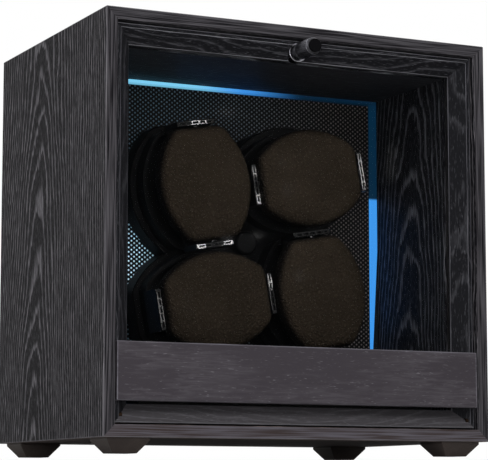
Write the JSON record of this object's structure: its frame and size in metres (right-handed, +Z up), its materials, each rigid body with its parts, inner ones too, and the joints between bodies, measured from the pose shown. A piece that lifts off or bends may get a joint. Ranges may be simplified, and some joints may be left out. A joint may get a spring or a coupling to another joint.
{
  "type": "watch winder box",
  "caption": "Black wood-veneered watch winder cabinet with a glazed fall-front door, an apron strip, a turned knob and a motor-driven carousel of leather watch cushions lit from behind.",
  "frame": {"origin": "on the table, under the middle of the whole object including the knob", "axes": "+X to the right, -Y out of the glazed front, +Z up"},
  "size_m": [0.26, 0.197, 0.261],
  "materials": {
    "black_ash_veneer": "open-grain ash veneer stained black, satin",
    "black_ash_lining": "ash veneer stained black, satin",
    "black_hardboard": "painted hardboard, matte",
    "woven_carbon_vinyl": "woven dot-pattern vinyl, semi-gloss",
    "clear_acrylic": "clear, polished",
    "black_anodised_aluminium": "black anodised, knurled, polished rings",
    "black_zinc_screws": "black zinc, satin",
    "zinc_steel": "zinc plated",
    "nickel_magnet": "nickel plated",
    "sintered_bronze": "oiled sintered bronze",
    "frosted_light_strip": "frosted strip, lit blue",
    "led_tape": "flexible lamp tape",
    "black_nylon": "moulded nylon",
    "motor_steel": "drawn steel can",
    "white_acetal": "moulded acetal",
    "gloss_black_abs": "polished moulding",
    "black_leatherette": "pebble-grained, matte",
    "matte_black_abs": "textured moulding",
    "circuit_board": "solder mask",
    "brass_standoff": "turned"
  },
  "bodies": {
    "cabinet": {"back_panel": "black_hardboard", "back_panel_screws": "black_zinc_screws", "bearing_housing": "black_nylon", "board_cleats": "black_hardboard", "bottom_panel": "black_ash_veneer", "catch_magnets": "nickel_magnet", "ceiling_liner": "black_ash_lining", "control_deck": "matte_black_abs", "control_pcb": "circuit_board", "dc_jack": "black_nylon", "door_pivot_pins": "zinc_steel", "drive_screws": "zinc_steel", "feet": "black_ash_veneer", "floor_liner": "black_ash_lining", "foot_screws": "black_zinc_screws", "gearbox_case": "black_nylon", "jack_nut": "zinc_steel", "led_strips": "led_tape", "left_liner": "black_ash_lining", "left_panel": "black_ash_veneer", "light_diffusers": "frosted_light_strip", "motor_bracket": "zinc_steel", "motor_can": "motor_steel", "pcb_standoffs": "brass_standoff", "right_liner": "black_ash_lining", "right_panel": "black_ash_veneer", "rotor_board": "woven_carbon_vinyl", "shaft_bushes": "sintered_bronze", "top_panel": "black_ash_veneer"},
    "door": {"door_top_rail": "black_ash_veneer", "door_bottom_rail": "black_ash_veneer", "door_left_stile": "black_ash_veneer", "door_right_stile": "black_ash_veneer", "door_pane": "clear_acrylic", "pane_beads": "black_hardboard", "door_apron": "black_ash_veneer", "door_screws": "black_zinc_screws", "knob_flange": "black_anodised_aluminium", "knob_body": "black_anodised_aluminium", "knob_end_cap": "black_anodised_aluminium", "strike_plates": "zinc_steel", "door_pivot_bushes": "sintered_bronze"},
    "carousel": {"turntable_plate": "gloss_black_abs", "holder_cups": "gloss_black_abs", "cup_screws": "zinc_steel", "turntable_hub": "black_nylon", "hub_nut": "zinc_steel", "drive_shaft": "zinc_steel", "drive_gear": "white_acetal"},
    "pinion": {"motor_pinion": "white_acetal"},
    "mode_button": {"mode_button": "matte_black_abs"},
    "light_button": {"light_button": "matte_black_abs"},
    "cushion_1": {"cushion_pad_1": "black_leatherette", "cushion_cuff_1": "gloss_black_abs"},
    "cushion_2": {"cushion_pad_2": "black_leatherette", "cushion_cuff_2": "gloss_black_abs"},
    "cushion_3": {"cushion_pad_3": "black_leatherette", "cushion_cuff_3": "gloss_black_abs"},
    "cushion_4": {"cushion_pad_4": "black_leatherette", "cushion_cuff_4": "gloss_black_abs"}
  },
  "joints": [
    {"name": "door_hinge", "type": "hinge", "parent": "cabinet", "child": "door", "pos_m": [0, -0.076, 0.022], "axis": [1, 0, 0], "range_deg": [0, 88]},
    {"name": "carousel_spin", "type": "hinge", "parent": "cabinet", "child": "carousel", "pos_m": [0, 0.0245, 0.136], "axis": [0, 1, 0], "continuous": true},
    {"name": "pinion_spin", "type": "hinge", "parent": "cabinet", "child": "pinion", "pos_m": [0, 0.0385, 0.0985], "axis": [0, 1, 0], "continuous": true},
    {"name": "cushion_1_slide", "type": "slide", "parent": "carousel", "child": "cushion_1", "axis": [0, -1, 0], "range_m": [0, 0.024]},
    {"name": "cushion_2_slide", "type": "slide", "parent": "carousel", "child": "cushion_2", "axis": [0, -1, 0], "range_m": [0, 0.024]},
    {"name": "cushion_3_slide", "type": "slide", "parent": "carousel", "child": "cushion_3", "axis": [0, -1, 0], "range_m": [0, 0.024]},
    {"name": "cushion_4_slide", "type": "slide", "parent": "carousel", "child": "cushion_4", "axis": [0, -1, 0], "range_m": [0, 0.024]},
    {"name": "mode_press", "type": "slide", "parent": "cabinet", "child": "mode_button", "axis": [0, 0, -1], "range_m": [0, 0.0015], "stiffness_N_per_m": 400},
    {"name": "light_press", "type": "slide", "parent": "cabinet", "child": "light_button", "axis": [0, 0, -1], "range_m": [0, 0.0015], "stiffness_N_per_m": 400}
  ],
  "couplings": [
    {"joint": "pinion_spin", "follows": "carousel_spin", "ratio": -4}
  ]
}
